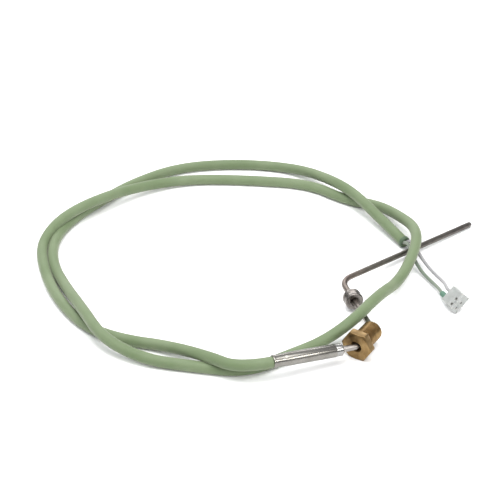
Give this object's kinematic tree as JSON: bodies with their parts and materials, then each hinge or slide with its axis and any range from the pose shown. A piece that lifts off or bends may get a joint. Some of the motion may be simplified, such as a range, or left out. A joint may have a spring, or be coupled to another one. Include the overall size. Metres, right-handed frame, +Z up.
{
  "type": "thermocouple flame probe",
  "caption": "Bent metal-sheathed thermocouple probe with a brass gland nut and ferrules, on a looped green cable that ends in a small white two-way plug.",
  "frame": {"origin": "on the surface that the probe lies on, below the middle of the rigid probe's box, cable and leads left out", "axes": "+Z up; +Y away from the end where the cable enters, so the long rod points to +X and +Y at 38 degrees"},
  "size_m": [0.2387, 0.2093, 0.0199],
  "materials": {
    "sheath_steel": "heat-tinted drawn stainless steel",
    "sleeve_steel": "turned stainless steel, brushed along its length",
    "bush_steel": "turned stainless steel, bright",
    "ferrule_steel": "turned stainless steel",
    "brass": "machined brass, slightly tarnished",
    "magnesia": "packed mineral powder",
    "thermo_alloy": "drawn alloy wire",
    "crimp_copper": "tinned crimp sleeves",
    "potting_resin": "cast resin",
    "green_jacket": "soft extruded jacket, satin",
    "green_insulation": "extruded insulation, satin",
    "white_insulation": "extruded insulation, satin",
    "green_marker": "smooth tubing",
    "green_sleeve": "shrunk tubing, satin",
    "nylon": "natural nylon, slightly translucent",
    "contact_tin": "tinned spring contacts"
  },
  "bodies": {
    "probe": {"probe_sheath": "sheath_steel", "mineral_insulation": "magnesia", "thermo_wire_positive": "thermo_alloy", "thermo_wire_negative": "thermo_alloy", "hot_junction": "thermo_alloy", "transition_sleeve": "sleeve_steel", "sleeve_end_bush": "bush_steel", "splice_sleeves": "crimp_copper", "conductor_ends": "thermo_alloy", "splice_tails": "thermo_alloy", "potting_compound": "potting_resin", "cable_jacket": "green_jacket", "lead_negative": "white_insulation", "lead_positive": "green_insulation", "lead_marker": "green_marker", "breakout_sleeve": "green_sleeve", "plug_housing": "nylon", "contact_positive": "contact_tin", "contact_negative": "contact_tin"},
    "nut": {"gland_nut": "brass"},
    "ferrule_pair": {"back_ferrule": "ferrule_steel", "front_ferrule": "ferrule_steel"}
  },
  "joints": [
    {"name": "nut_spin", "type": "hinge", "parent": "probe", "child": "nut", "pos_m": [-0.0155, -0.0519, 0.00715], "axis": [0.5446, 0.8387, 0], "continuous": true},
    {"name": "ferrule_slide", "type": "slide", "parent": "probe", "child": "ferrule_pair", "axis": [-0.2772, 0.9601, -0.0365], "range_m": [-0.0015, 0.0065]}
  ]
}
